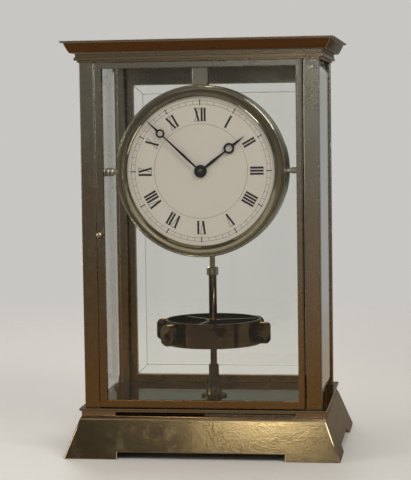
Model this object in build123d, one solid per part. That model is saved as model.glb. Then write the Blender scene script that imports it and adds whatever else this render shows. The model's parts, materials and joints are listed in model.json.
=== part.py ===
from build123d import *
import os
from math import acos, cos, hypot, pi, radians, sin

# An atmospheric clock in a glazed metal case. It stands on z = 0 with the middle of its base at
# the origin, the door faces -Y and +X is to the right. Every size is in millimetres.

# Case
case_depth = 112.0             # over the outer faces of the columns
side_gap = 11.95               # between the drum and the columns
column_side = 9.7
column_length = 224.8
column_edge_radius = 0.6
cut_overrun = 2.0              # how far a cutting tool runs past the face that it opens
running_clearance = 0.05       # radial, between a pivot and its hole

# Plinth: a sloped tray upside down, with a foot at each corner
plinth_height = 24.7
plinth_foot_overhang = 12.85   # beyond the columns' outer faces, at the ground
plinth_top_overhang = 3.4
plinth_wall = 3.0
plinth_deck = 2.7
plinth_corner_radius = 1.5
foot_height = 4.5
foot_length = 35.7
closing_plate_thickness = 1.5

# Step between the plinth and the base plate, with the slot of the pendulum lock
step_height = 5.3
step_foot_overhang = 3.3
step_top_overhang = 2.1
step_wall = 4.0
step_cove_height = 3.1
step_cove_sag = 0.35
slot_end_gap = 18.35            # between the slot and the columns' outer faces, on average
slot_centre = 2.0              # its middle lies this far to the right
slot_height = 2.4
slot_drop = 0.9                # below the base plate

# Base plate, which is also the floor of the case
base_plate_thickness = 1.5
base_plate_overhang = 3.35

# Head plate: a narrow slab under a wider one
head_slab_height = 1.3
head_slab_overhang = 0.9
head_lip_height = 1.9
head_lip_overhang = 2.7

# Cornice
frieze_height = 2.7
frieze_overhang = 2.2
slope_height = 6.7
slope_foot_overhang = 5.0
slope_top_overhang = 8.4
slope_sag = 0.25
crown_height = 1.1
crown_overhang = 10.4
cornice_wall = 2.0

# Panes
pane_thickness = 2.2
pane_edge = 1.2                # thickness that enters the grooves
pane_bevel = 6.4               # width of the ground bevel
side_pane_thickness = 3.4
side_pane_setback = 1.0        # from the columns' outer faces to the outer face of a side pane
groove_depth = 1.0
groove_clearance = 0.05

# Door
door_thickness = 4.0
door_gap = 0.2                 # to the columns, the base plate and the head plate
door_stile = 4.75
door_top_rail = 4.1
door_bottom_rail = 5.0
door_edge_radius = 0.4
door_pin_radius = 1.2
door_pin_depth = 3.3           # in the door
door_pin_projection = 1.2      # into the plates
knob_height = 113.5            # of its axis above the floor
knob_radius = 2.25
knob_neck_radius = 0.95
knob_neck_length = 1.1
knob_collar_radius = 1.7
knob_collar_thickness = 0.6
latch_length = 4.2
latch_width = 2.4
latch_thickness = 1.0
latch_boss_radius = 1.9
latch_gap = 0.2

# Back frame
back_frame_thickness = 4.0
back_stile = 5.0
back_top_rail = 13.0
back_bottom_rail = 5.5

# Movement case, its bezel and the dial
strap_reach = 15.3             # between the head plate and the drum
drum_radius = 55.7
drum_wall = 1.6
drum_setback = 6.0             # of its front edge behind the door's face
drum_length = 22.0
bezel_width = 5.9
bezel_bead_width = 0.5
bezel_bead_height = 0.15
bezel_rise = 0.8               # from the inner edge to the outer edge
bezel_dish = 0.3
bezel_recess = 0.45            # of its outer edge behind the drum's front edge
dial_rebate = 1.8              # how far the dial reaches under the bezel
dial_thickness = 0.8
dial_recess = 2.6              # of the dial's face behind the drum's front edge
dial_ledge_width = 4.6
dial_ledge_thickness = 1.0
dial_hole_radius = 2.6

# How the drum is held: a strap from the head plate and a stud at each side
strap_width = 9.9
strap_thickness = 2.0
strap_setback = 3.5            # of its front behind the drum's front edge
strap_tab_length = 11.0
strap_edge_radius = 0.5
lug_length = 6.5
lug_height = 7.0
stud_radius = 1.5
stud_margin = 0.2              # behind the drum's rounded front edge
nut_radius = 2.85
nut_groove_depth = 0.4
nut_drum_gap = 1.35
nut_gap = 2.6                  # between the nut and the column
nut_ridge_count = 3
sleeve_radius = 2.0
sleeve_length = 9.0

# Hands, as angles clockwise from twelve and distances from the centre
hand_thickness = 0.4
hour_angle = 52.2
hour_hand_gap = 12.2           # between the tip and the bezel
hour_ring_place = 23.7
hour_ring_radius = 3.55
hour_eye_radius = 2.15
hour_stem_half_width = 1.0
hour_hub_radius = 4.15
hour_hand_lift = 0.95          # of its back above the dial
minute_angle = -46.5
minute_hand_gap = 0.6
minute_ring_place = 35.7
minute_ring_radius = 2.9
minute_eye_radius = 1.75
minute_stem_half_width = 0.8
minute_hub_radius = 2.9
minute_hand_lift = 2.05
hand_tip_half_width = 0.15
stem_root_share = 0.5          # half width at the centre, of the half width at the belly
stem_taper_share = 0.45        # the same at the ring
stem_belly_share = 0.38        # where the belly lies between the centre and the ring
hand_nut_radius = 1.5
hand_nut_height = 1.3

# Movement plates
plate_thickness = 2.0
front_plate_gap = 5.1          # behind the dial
movement_back_gap = 16.0       # between the back plate and the pendulum's axis
back_plate_radius = 46.0
pillar_radius = 3.0
pillar_circle_radius = 41.5
pillar_angles = (50, 130, 235, 305)

# Wheels: teeth, modules and planes, which are shares of the space between the plates
tooth_tip_share = 0.8          # tooth above the pitch circle, of the module
tooth_root_share = 1.1
tooth_root_half_share = 0.25   # half width at the root, of the pitch
tooth_tip_half_share = 0.09
motion_module = 0.4
cannon_teeth = 12
minute_wheel_teeth = 36
hour_pinion_teeth = 10
hour_wheel_teeth = 40
minute_wheel_angle = -35
motion_wheel_thickness = 1.0
motion_gap = 0.2               # in front of the front plate
cannon_pipe_radius = 1.3
hour_pipe_wall = 0.85
minute_stud_radius = 0.6
minute_pinion_length = 2.2
great_wheel_teeth = 50
centre_pinion_teeth = 10
great_module = 0.8
great_wheel_thickness = 1.8
train_module = 0.5
train_wheel_teeth = 48
train_pinion_teeth = 24
train_wheel_thickness = 1.0
train_pinion_extra = 0.4       # how much longer a pinion is than its wheel
hub_radius = 1.8
centre_arbor_radius = 0.9
train_arbor_radius = 0.8
escape_teeth = 15
escape_radius = 8.0
escape_tooth_depth = 2.0
escape_drop = 25.0             # of the escape wheel below the dial's centre
barrel_cup_radius = 17.5
barrel_front_gap = 1.8
barrel_wall = 1.0
barrel_arbor_radius = 2.0
mainspring_inner_radius = 8.0
mainspring_gap = 0.3
great_wheel_share = 0.656
centre_wheel_share = 0.777
third_wheel_share = 0.442
escape_wheel_share = 0.874
ratchet_teeth = 24
ratchet_radius = 8.0
ratchet_tooth_depth = 1.0
ratchet_thickness = 1.4
ratchet_gap = 0.3
click_reach = 12.0             # from the barrel arbor to the click's pivot
click_angle = 55
click_span = 45                # degrees of the ratchet from the click's pivot to its tip
click_boss_radius = 2.0
click_width = 1.8
click_clearance = 0.25
click_screw_radius = 1.0

# Pallets, fork and the roller that they drive
pallet_drop = 11.5             # of their arbor below the escape wheel
pallet_reach = 9.8             # of the pallets from the escape wheel's centre
pallet_angle = 50
pallet_arm_width = 1.5
pallet_boss_radius = 2.0
pallet_cock_gap = 4.0
pallet_cock_thickness = 1.5
pallet_cock_width = 6.0
pallet_cock_height = 9.0
fork_gap = 1.2
fork_thickness = 1.2
fork_drop = 10.0
fork_half_opening = 0.9
fork_tine = 1.0
fork_height = 1.6
fork_end_gap = 2.3             # short of the pendulum's axis
roller_radius = 4.2
roller_thickness = 1.4
impulse_pin_radius = 0.5
impulse_pin_place = 3.0
impulse_pin_length = 2.4
impulse_pin_gap = 0.3          # below the fork

# Torsion pendulum
wire_radius = 0.15
cock_height = 5.0
cock_half_width = 4.0
cock_foot_half_width = 7.0
cock_foot_height = 14.0
cock_foot_thickness = 3.0
cock_top_place = 44.0          # above the dial's centre
cock_overhang = 4.0            # past the pendulum's axis
wire_block_radius = 1.8
wire_block_head_radius = 3.0
wire_block_head_height = 1.5
tube_radius = 2.7
tube_neck_radius = 1.9
collar_radius = 4.0
collar_height = 6.0
tube_step_drop = 72.3          # of the collar's foot below the dial's centre
tube_top_drop = 44.3
tube_cap_radius = 2.4
tube_cap_height = 3.0
ring_radius = 32.5
ring_wall = 1.6
ring_height = 16.4
ring_drop = 101.8              # of the ring's upper edge below the dial's centre
spoke_count = 3
spoke_angle = -12              # from the front, towards the right
spoke_width = 3.0
spoke_thickness = 1.8
spoke_inset = 0.5              # below the ring's upper edge
spider_hub_radius = 5.0
spider_hub_height = 3.7
weight_count = 6
weight_angle = 15
weight_neck_radius = 4.5
weight_neck_length = 2.0
weight_head_radius = 7.25
weight_head_length = 4.4
weight_point_length = 2.6
weight_edge_radius = 0.5
pendulum_foot_radius = 1.1     # of the ball under the tube
pendulum_foot_neck_radius = 0.8
pendulum_foot_height = 2.4

# Lock: a slide under the floor lifts a plunger in a post towards the pendulum's foot
lock_lift = 1.6
lock_end_place = 1.0           # where the tip stops, to the right of the middle
lock_gap = 0.3                 # left between the raised plunger and the pendulum's foot
post_flange_radius = 8.6
post_flange_height = 1.2
post_foot_radius = 5.6
post_radius = 4.6
post_neck_radius = 3.4
post_section_shares = (0.16, 0.42, 0.667)
plunger_radius = 2.2
plunger_foot_radius = 3.0
plunger_foot_height = 0.5
slide_tip_gap = 2.0            # between the tip and the slot's right end
slide_gap = 0.1
slide_height = 2.9
slide_depth = 6.0
slide_behind = 4.0             # of the bar's right end beyond the tip
arm_thickness = 1.2
arm_width = 16.0
ramp_half_width = 4.0
ramp_margin = 4.0
tip_radius = 0.8
tip_ball_radius = 1.25
tip_drop = 0.5
tip_reach = 1.0                # of the ball's centre beyond the step

# Motor behind the movement: a closed drum that turns as its vessel warms and cools
rear_plate_place = 4.5         # of its front behind the pendulum's axis
rear_plate_thickness = 1.8
rear_plate_half_width = 31.0
rear_plate_rise = 26.0
rear_plate_fall = 28.0
rear_plate_corner_radius = 6.0
rear_leg_radius = 2.2
rear_leg_half_spread = 22.0
rear_leg_rise = 20.0
rear_leg_fall = 22.0
motor_radius = 37.0
motor_back_gap = 7.55          # between the stud's head and the back frame
motor_wall = 1.2
motor_gap = 4.1                # behind the rear plate
motor_gear_teeth = 30
motor_gear_module = 0.8
motor_gear_thickness = 1.8
motor_gear_gap = 0.7
motor_stud_radius = 2.5
motor_stud_head_radius = 4.5
motor_stud_head_height = 2.0
motor_edge_radius = 1.5
motor_boss_radius = 9.0
motor_boss_height = 1.0
vessel_radius = 23.0
vessel_tube_radius = 6.0

# Screws
column_screw_radius = 1.6
column_screw_length = 8.0
column_screw_head_radius = 2.7
column_screw_head_height = 1.4
small_screw_radius = 1.1
small_screw_length = 4.0
small_screw_head_radius = 2.0
small_screw_head_height = 1.0
screw_slot_width = 0.5
screw_slot_depth = 0.4
screw_turn = 35                # degrees between one slot and the next
strap_screw_offset = 2.5
strap_screw_rise = 3.4

# Levels and planes that follow from the sizes above
inner_x = drum_radius + side_gap
half_width = inner_x + column_side
half_depth = case_depth / 2
front_y = -half_depth
inner_y = half_depth - column_side
step_z = plinth_height
base_plate_z = step_z + step_height
floor_z = base_plate_z + base_plate_thickness
head_z = floor_z + column_length
head_lip_z = head_z + head_slab_height
cornice_z = head_lip_z + head_lip_height
door_back_y = front_y + door_thickness
dial_z = head_z - strap_reach - drum_radius
drum_front_y = front_y + drum_setback
drum_back_y = drum_front_y + drum_length
drum_bore = drum_radius - drum_wall
bezel_inner_radius = drum_bore - bezel_width
dial_radius = bezel_inner_radius + dial_rebate
hour_length = bezel_inner_radius - hour_hand_gap
minute_length = bezel_inner_radius - minute_hand_gap
nut_length = side_gap - nut_gap - nut_drum_gap
dial_y = drum_front_y + dial_recess
ledge_y = dial_y + dial_thickness
front_plate_y = ledge_y + front_plate_gap
train_y = front_plate_y + plate_thickness
movement_back_y = -movement_back_gap
back_plate_y = movement_back_y - plate_thickness
plate_spacing = back_plate_y - train_y
great_wheel_y = train_y + great_wheel_share * plate_spacing
centre_wheel_y = train_y + centre_wheel_share * plate_spacing
third_wheel_y = train_y + third_wheel_share * plate_spacing
escape_wheel_y = train_y + escape_wheel_share * plate_spacing
barrel_front_y = train_y + barrel_front_gap
barrel_back_y = great_wheel_y - great_wheel_thickness
stud_y = drum_front_y + drum_wall / 2 + stud_margin + stud_radius
knob_x = -(inner_x - door_gap - door_stile / 2)
knob_z = floor_z + knob_height
hinge_x = inner_x - door_gap - door_thickness / 2
hinge_y = front_y + door_thickness / 2
great_distance = great_module * (great_wheel_teeth + centre_pinion_teeth) / 2
train_distance = train_module * (train_wheel_teeth + train_pinion_teeth) / 2
motion_distance = motion_module * (cannon_teeth + minute_wheel_teeth) / 2
hour_module = 2 * motion_distance / (hour_pinion_teeth + hour_wheel_teeth)
barrel_x = -great_distance
escape_z = dial_z - escape_drop
third_turn = acos(escape_drop / 2 / train_distance)
third_x = train_distance * sin(third_turn)
third_z = dial_z - train_distance * cos(third_turn)
pallet_z = escape_z - pallet_drop
motor_y = rear_plate_place + rear_plate_thickness + motor_gap
motor_gear_y = rear_plate_place + rear_plate_thickness + motor_gear_gap
motor_stud_y = half_depth - back_frame_thickness - motor_back_gap - motor_stud_head_height
motor_length = motor_stud_y - running_clearance - motor_boss_height - motor_y
ring_top_z = dial_z - ring_drop
ring_z = ring_top_z - ring_height
foot_z = ring_z - pendulum_foot_height
plunger_top_z = foot_z - lock_gap - lock_lift
post_reach = plunger_top_z - floor_z
slide_z = plinth_height + slide_gap
arm_z = slide_z + slide_height - arm_thickness
plunger_z = arm_z + arm_thickness + slide_gap
slot_length = 2 * (half_width - slot_end_gap)
slide_tip_place = slot_centre + slot_length / 2 - slide_tip_gap
lock_travel = slide_tip_place - lock_end_place


# Shapes
def drawn_face(corners, place):
    # A flat face through corners (u, v). A third number bows the edge that starts there to its left.
    edges = []
    for i, corner in enumerate(corners):
        u, v = corner[:2]
        next_u, next_v = corners[(i + 1) % len(corners)][:2]
        if len(corner) == 2:
            edges.append(Line(place(u, v), place(next_u, next_v)))
        else:
            run = hypot(next_u - u, next_v - v)
            middle_u = (u + next_u) / 2 - corner[2] * (next_v - v) / run
            middle_v = (v + next_v) / 2 + corner[2] * (next_u - u) / run
            edges.append(ThreePointArc(place(u, v), place(middle_u, middle_v), place(next_u, next_v)))
    return make_face(edges)


def block(x0, x1, y0, y1, z0, z1):
    return Pos((x0 + x1) / 2, (y0 + y1) / 2, (z0 + z1) / 2) * Box(x1 - x0, y1 - y0, z1 - z0)


def rod_x(y, z, radius, x0, x1):
    return turned_x(y, z, [(x0, 0), (x1, 0), (x1, radius), (x0, radius)])


def rod_y(x, z, radius, y0, y1):
    return turned_y(x, z, [(y0, 0), (y1, 0), (y1, radius), (y0, radius)])


def rod_z(x, y, radius, z0, z1):
    return turned_z(x, y, [(0, z0), (radius, z0), (radius, z1), (0, z1)])


def turned_x(y, z, corners):
    # corners are (x, radius)
    face = drawn_face(corners, lambda along, radius: (along, y, z + radius))
    return revolve(face, Axis((0, y, z), (1, 0, 0)))


def turned_y(x, z, corners):
    # corners are (y, radius)
    face = drawn_face(corners, lambda along, radius: (x + radius, along, z))
    return revolve(face, Axis((x, 0, z), (0, 1, 0)))


def turned_z(x, y, corners):
    # corners are (radius, z)
    face = drawn_face(corners, lambda radius, along: (x + radius, y, along))
    return revolve(face, Axis((x, y, 0), (0, 0, 1)))


def cap_sag(height, radius):
    # How far the meridian of a spherical cap bows from its chord
    ball = (radius ** 2 + height ** 2) / (2 * height)
    half_chord = hypot(radius, height) / 2
    return ball - (ball ** 2 - half_chord ** 2) ** 0.5


def both_sides(corners, half):
    right = [(half + corner[0],) + tuple(corner[1:]) for corner in corners]
    left = []
    for i in range(len(right) - 1, -1, -1):
        sag = tuple(right[i - 1][2:]) if i else ()
        left.append((-right[i][0], right[i][1]) + sag)
    return right[:-1] + [right[-1][:2]] + left


def mitred(half_x, half_y, corners):
    # A rectangular moulding with mitred corners. corners are (overhang, z) up its outside.
    span = max(half_x, half_y) + max(abs(corner[0]) for corner in corners) + cut_overrun
    across = drawn_face(both_sides(corners, half_y), lambda u, v: (0, u, v))
    along = drawn_face(both_sides(corners, half_x), lambda u, v: (u, 0, v))
    return extrude(across, span, dir=(1, 0, 0), both=True) & extrude(along, span, dir=(0, 1, 0), both=True)


def pane(width, height, thickness=pane_thickness):
    return mitred(width / 2, height / 2, [(0, 0), (0, pane_edge), (-groove_depth, pane_edge),
                                          (-groove_depth - pane_bevel, thickness)])


def polar(x, z, radius, turn):
    return (x + radius * cos(turn), z + radius * sin(turn))


def toothed(x, z, y0, y1, points):
    # A disc whose outline is given as (radius, turn) about its own centre
    corners = [polar(x, z, radius, turn) for radius, turn in points]
    face = drawn_face(corners, lambda u, v: (u, y0, v))
    return extrude(face, y1 - y0, dir=(0, 1, 0))


def gear(x, z, y0, y1, teeth, module, tooth_at):
    pitch_radius = module * teeth / 2
    tip = pitch_radius + tooth_tip_share * module
    root = pitch_radius - tooth_root_share * module
    pitch = 2 * pi / teeth
    points = []
    for i in range(teeth):
        middle = tooth_at + i * pitch
        points.append((root, middle - tooth_root_half_share * pitch))
        points.append((tip, middle - tooth_tip_half_share * pitch))
        points.append((tip, middle + tooth_tip_half_share * pitch))
        points.append((root, middle + tooth_root_half_share * pitch))
    return toothed(x, z, y0, y1, points)


def saw_wheel(x, z, y0, y1, teeth, tip, depth, direction):
    pitch = 2 * pi / teeth
    points = []
    for i in range(teeth):
        points.append((tip - depth, direction * i * pitch))
        points.append((tip, direction * i * pitch))
    return toothed(x, z, y0, y1, points[::direction])


def gap_facing(turn, teeth):
    # Where a tooth stands when a gap faces the given direction
    return turn + pi / teeth


def pan_screw(head_radius, head_height, shank_radius, shank_length):
    # Its head stands on z = 0 and its shank points down
    screw = rod_z(0, 0, head_radius, 0, head_height) + rod_z(0, 0, shank_radius, -shank_length, 0)
    slot_floor = head_height - screw_slot_depth
    half = screw_slot_width / 2
    long = head_radius + cut_overrun
    return screw - block(-long, long, -half, half, slot_floor, head_height + cut_overrun)


# Base
def plinth():
    deck_z = plinth_height - plinth_deck
    body = mitred(half_width, half_depth, [(plinth_foot_overhang, 0), (plinth_top_overhang, plinth_height)])
    corner_edges = body.edges().filter_by(lambda edge: abs((edge @ 1 - edge @ 0).Z) > foot_height)
    body = fillet(corner_edges, plinth_corner_radius)
    body -= plinth_hollow(0, deck_z)
    foot_x = half_width + plinth_foot_overhang
    foot_y = half_depth + plinth_foot_overhang
    body -= block(foot_length - foot_x, foot_x - foot_length, -foot_y - cut_overrun, foot_y + cut_overrun,
                  -cut_overrun, foot_height)
    body -= block(-foot_x - cut_overrun, foot_x + cut_overrun, foot_length - foot_y, foot_y - foot_length,
                  -cut_overrun, foot_height)
    guide_y = slide_bar_back() + slide_gap
    guide_x = slot_length / 2
    guide = block(-guide_x, guide_x, guide_y, guide_y + step_wall, deck_z, arm_z - slide_gap)
    return body + guide


def plinth_hollow(z0, z1):
    def overhang(z):
        slope = (plinth_foot_overhang - plinth_top_overhang) / plinth_height
        return plinth_foot_overhang - plinth_wall - slope * z
    return mitred(half_width, half_depth, [(overhang(z0), z0), (overhang(z1), z1)])


def base_step():
    cove_z = step_z + step_cove_height
    ring = mitred(half_width, half_depth, [(step_foot_overhang, step_z, step_cove_sag),
                                           (step_top_overhang, cove_z), (step_top_overhang, base_plate_z)])
    x = half_width + step_top_overhang - step_wall
    y = half_depth + step_top_overhang - step_wall
    ring -= block(-x, x, -y, y, step_z - cut_overrun, base_plate_z + cut_overrun)
    slot_top = base_plate_z - slot_drop
    slot_x0 = slot_centre - slot_length / 2
    outside_y = -half_depth - step_wall - step_foot_overhang
    return ring - block(slot_x0, slot_x0 + slot_length, outside_y, -y + slot_drop,
                        slot_top - slot_height, slot_top)


def base_plate():
    out = base_plate_overhang
    plate = mitred(half_width, half_depth, [(out, base_plate_z), (out, floor_z)])
    plate -= rod_z(0, 0, plunger_radius + running_clearance, base_plate_z, floor_z)
    plate -= rod_z(hinge_x, hinge_y, door_pin_radius + running_clearance, base_plate_z, floor_z)
    for x, y in column_centres():
        plate -= rod_z(x, y, column_screw_radius, base_plate_z, floor_z)
    return plate


def column_centres():
    x = half_width - column_side / 2
    y = half_depth - column_side / 2
    return [(-x, -y), (x, -y), (-x, y), (x, y)]


def side_pane_x():
    # Middle of the groove that holds a side pane's thin edge
    return half_width - side_pane_setback - side_pane_thickness + pane_edge / 2


def column(x, y, keeper=False):
    half = column_side / 2
    bar = block(x - half, x + half, y - half, y + half, floor_z, head_z)
    bar = fillet(bar.edges().filter_by(Axis.Z), column_edge_radius)
    inward = -1 if y > 0 else 1
    face_y = y + inward * half
    groove_x = side_pane_x() * (1 if x > 0 else -1)
    groove_half = pane_edge / 2 + groove_clearance
    groove_y = sorted((face_y - inward * groove_depth, face_y + inward * cut_overrun))
    bar -= block(groove_x - groove_half, groove_x + groove_half, *groove_y, floor_z, head_z)
    for end_z, towards in ((floor_z, 1), (head_z, -1)):
        bar -= rod_z(x, y, column_screw_radius, *sorted((end_z, end_z + towards * column_screw_length)))
    if keeper:
        bar -= block(-inner_x - latch_length / 2, -inner_x + cut_overrun,
                     door_back_y, door_back_y + 2 * latch_gap + latch_thickness,
                     knob_z - latch_width / 2 - latch_gap, knob_z + latch_length)
    return bar


def column_screws():
    screw = pan_screw(column_screw_head_radius, column_screw_head_height, column_screw_radius,
                      column_screw_length + base_plate_thickness)
    upper = pan_screw(column_screw_head_radius, column_screw_head_height, column_screw_radius,
                      column_screw_length + head_slab_height + head_lip_height)
    solids = []
    for x, y in column_centres():
        solids.append(Pos(x, y, cornice_z) * upper)
        solids.append(Pos(x, y, base_plate_z) * Rot(180, 0, 0) * screw)
    return solids


# Top
def head_plate():
    plate = mitred(half_width, half_depth, [(head_slab_overhang, head_z), (head_slab_overhang, head_lip_z)])
    plate += mitred(half_width, half_depth, [(head_lip_overhang, head_lip_z), (head_lip_overhang, cornice_z)])
    plate -= rod_z(hinge_x, hinge_y, door_pin_radius + running_clearance, head_z, head_lip_z)
    for x, y in column_centres():
        plate -= rod_z(x, y, column_screw_radius, head_z, cornice_z)
    for x, y in strap_hole_places():
        plate -= rod_z(x, y, small_screw_radius, head_z, cornice_z)
    return plate


def cornice():
    frieze_top = cornice_z + frieze_height
    slope_top = frieze_top + slope_height
    top = slope_top + crown_height
    cap = mitred(half_width, half_depth, [
        (frieze_overhang, cornice_z), (frieze_overhang, frieze_top),
        (slope_foot_overhang, frieze_top, -slope_sag), (slope_top_overhang, slope_top),
        (crown_overhang, slope_top), (crown_overhang, top)])
    hollow_x = half_width + frieze_overhang - cornice_wall
    hollow_y = half_depth + frieze_overhang - cornice_wall
    return cap - block(-hollow_x, hollow_x, -hollow_y, hollow_y, cornice_z - cut_overrun, top - cornice_wall)


# Panes and the frames that hold them
def glazed_frame(x0, x1, y0, y1, z0, z1, left, right, bottom, top):
    frame = block(x0, x1, y0, y1, z0, z1)
    frame -= block(x0 + left, x1 - right, y0 - cut_overrun, y1 + cut_overrun, z0 + bottom, z1 - top)
    half = pane_edge / 2 + groove_clearance
    middle = (y0 + y1) / 2
    return frame - block(x0 + left - groove_depth, x1 - right + groove_depth, middle - half, middle + half,
                         z0 + bottom - groove_depth, z1 - top + groove_depth)


def door_frame():
    x0 = -inner_x + door_gap
    z0 = floor_z + door_gap
    z1 = head_z - door_gap
    x1 = hinge_x + door_thickness / 2
    frame = glazed_frame(x0, x1, front_y, door_back_y, z0, z1, door_stile, door_stile,
                         door_bottom_rail, door_top_rail)
    edge = block(hinge_x, x1 + cut_overrun, front_y, door_back_y, z0, z1)
    frame = frame - edge + (rod_z(hinge_x, hinge_y, door_thickness / 2, z0, z1) & edge)
    front_edges = frame.faces().filter_by(Axis.Y).sort_by(Axis.Y)[0].edges()
    frame = fillet(front_edges.filter_by(lambda edge: edge.center().X < hinge_x - door_gap), door_edge_radius)
    frame -= rod_y(knob_x, knob_z, knob_neck_radius + running_clearance, front_y, door_back_y)
    frame -= rod_z(hinge_x, hinge_y, door_pin_radius, z0, z0 + door_pin_depth)
    return frame - rod_z(hinge_x, hinge_y, door_pin_radius, z1 - door_pin_depth, z1)


def door_glass():
    x0 = -inner_x + door_gap + door_stile - groove_depth
    x1 = inner_x - door_gap - door_stile + groove_depth
    z0 = floor_z + door_gap + door_bottom_rail - groove_depth
    z1 = head_z - door_gap - door_top_rail + groove_depth
    back_y = hinge_y + pane_edge / 2
    return Pos((x0 + x1) / 2, back_y, (z0 + z1) / 2) * Rot(90, 0, 0) * pane(x1 - x0, z1 - z0)


def door_pivot_pins():
    inside = door_gap + door_pin_depth
    lower = rod_z(hinge_x, hinge_y, door_pin_radius, floor_z - door_pin_projection, floor_z + inside)
    upper = rod_z(hinge_x, hinge_y, door_pin_radius, head_z - inside, head_z + door_pin_projection)
    return [lower, upper]


def door_knob():
    neck_y = front_y - knob_collar_thickness
    ball_back_y = neck_y - knob_neck_length
    ball_front_y = ball_back_y - 2 * knob_radius
    shaft_end_y = door_back_y + latch_gap + latch_thickness
    collar = turned_y(knob_x, knob_z, [(neck_y, 0), (front_y, 0), (front_y, knob_collar_radius),
                                       (neck_y, knob_collar_radius)])
    ball = turned_y(knob_x, knob_z, [(ball_front_y, 0), (ball_back_y, 0, knob_radius)])
    shaft = rod_y(knob_x, knob_z, knob_neck_radius, ball_back_y - knob_radius / 2, shaft_end_y)
    return collar + ball + shaft


def door_latch():
    y0 = door_back_y + latch_gap
    y1 = y0 + latch_thickness
    half = latch_width / 2
    tongue = rod_y(knob_x, knob_z, latch_boss_radius, y0, y1)
    tongue += block(knob_x - half, knob_x + half, y0, y1, knob_z, knob_z + latch_length)
    return tongue - rod_y(knob_x, knob_z, knob_neck_radius, y0, y1)


def back_frame():
    frame = glazed_frame(-inner_x, inner_x, half_depth - back_frame_thickness, half_depth, floor_z, head_z,
                         back_stile, back_stile, back_bottom_rail, back_top_rail)
    back_edges = frame.faces().filter_by(Axis.Y).sort_by(Axis.Y)[-1].edges()
    return fillet(back_edges, door_edge_radius)


def back_glass():
    half_x = inner_x - back_stile + groove_depth
    z0 = floor_z + back_bottom_rail - groove_depth
    z1 = head_z - back_top_rail + groove_depth
    front = half_depth - back_frame_thickness / 2 - pane_edge / 2
    return Pos(0, front, (z0 + z1) / 2) * Rot(-90, 0, 0) * pane(2 * half_x, z1 - z0)


def side_glass(side):
    depth = 2 * (inner_y + groove_depth)
    place = Pos(side * (side_pane_x() - pane_edge / 2), 0, (floor_z + head_z) / 2)
    return place * Rot(0, side * 90, 0) * pane(head_z - floor_z, depth, side_pane_thickness)


# Movement case
def drum_shell():
    nose = drum_wall / 2
    ledge_back = ledge_y + dial_ledge_thickness
    shell = turned_y(0, dial_z, [
        (drum_front_y + nose, drum_bore, -nose), (drum_front_y + nose, drum_radius),
        (drum_back_y, drum_radius), (drum_back_y, drum_bore),
        (ledge_back, drum_bore), (ledge_back, drum_bore - dial_ledge_width),
        (ledge_y, drum_bore - dial_ledge_width), (ledge_y, drum_bore)])
    lug_y = strap_y() + strap_thickness
    lug = block(-strap_width / 2, strap_width / 2, lug_y, lug_y + lug_length,
                dial_z + drum_bore, dial_z + drum_radius + lug_height)
    shell += lug - rod_y(0, dial_z, drum_bore, lug_y, lug_y + lug_length)
    x, z = strap_screw_place()
    shell -= rod_y(x, z, small_screw_radius, lug_y, lug_y + small_screw_length)
    return shell - rod_x(stud_y, dial_z, stud_radius, -drum_radius - cut_overrun, drum_radius + cut_overrun)


def bezel():
    edge_y = drum_front_y + bezel_recess
    inside_y = edge_y + bezel_rise
    bead_y = inside_y - bezel_bead_height
    bead_radius = bezel_inner_radius + bezel_bead_width
    rebate = dial_radius + running_clearance
    return turned_y(0, dial_z, [
        (ledge_y, rebate), (ledge_y, drum_bore), (edge_y, drum_bore, -bezel_dish), (inside_y, bead_radius),
        (bead_y, bead_radius), (bead_y, bezel_inner_radius), (dial_y, bezel_inner_radius), (dial_y, rebate)])


def dial():
    return turned_y(0, dial_z, [(dial_y, dial_hole_radius), (ledge_y, dial_hole_radius),
                                (ledge_y, dial_radius), (dial_y, dial_radius)])


def strap_y():
    return drum_front_y + strap_setback


def strap_screw_place():
    return (-strap_screw_offset, dial_z + drum_radius + strap_screw_rise)


def strap_hole_places():
    y = strap_y() + strap_tab_length - small_screw_head_radius - strap_edge_radius
    return [(-strap_screw_offset, y), (strap_screw_offset, y)]


def hanging_strap():
    half = strap_width / 2
    y0 = strap_y()
    y1 = y0 + strap_thickness
    strap = block(-half, half, y0, y1, dial_z, head_z)
    strap = fillet(strap.edges().filter_by(Axis.Z), strap_edge_radius)
    strap += block(-half, half, y1 - strap_edge_radius, y0 + strap_tab_length,
                   head_z - strap_thickness, head_z)
    strap -= rod_y(0, dial_z, drum_radius, y0 - cut_overrun, y1 + cut_overrun)
    x, z = strap_screw_place()
    strap -= rod_y(x, z, small_screw_radius, y0, y1)
    for x, y in strap_hole_places():
        strap -= rod_z(x, y, small_screw_radius, head_z - strap_thickness, head_z)
    return strap


def strap_screws():
    screw = pan_screw(small_screw_head_radius, small_screw_head_height, small_screw_radius,
                      strap_thickness + small_screw_length)
    top = pan_screw(small_screw_head_radius, small_screw_head_height, small_screw_radius,
                    strap_thickness + head_slab_height + head_lip_height)
    x, z = strap_screw_place()
    solids = [Pos(x, strap_y(), z) * Rot(90, 0, 0) * Rot(0, 0, screw_turn) * screw]
    for x, y in strap_hole_places():
        solids.append(Pos(x, y, head_z - strap_thickness) * Rot(180, 0, 0) * top)
    return solids


def side_studs():
    left = rod_x(stud_y, dial_z, stud_radius, -inner_x, -drum_bore)
    right = rod_x(stud_y, dial_z, stud_radius, drum_bore, inner_x)
    right += rod_x(stud_y, dial_z, sleeve_radius, inner_x - sleeve_length, inner_x)
    return [left, right]


def stud_nut_left():
    x = -inner_x + nut_gap
    low = nut_radius - nut_groove_depth
    pitch = nut_length / nut_ridge_count
    corners = [(x, stud_radius)]
    for i in range(nut_ridge_count):
        start = x + i * pitch
        corners += [(start, low), (start + pitch / 4, nut_radius), (start + 3 * pitch / 4, nut_radius)]
    corners += [(x + nut_length, low), (x + nut_length, stud_radius)]
    return turned_x(stud_y, dial_z, corners)


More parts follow.
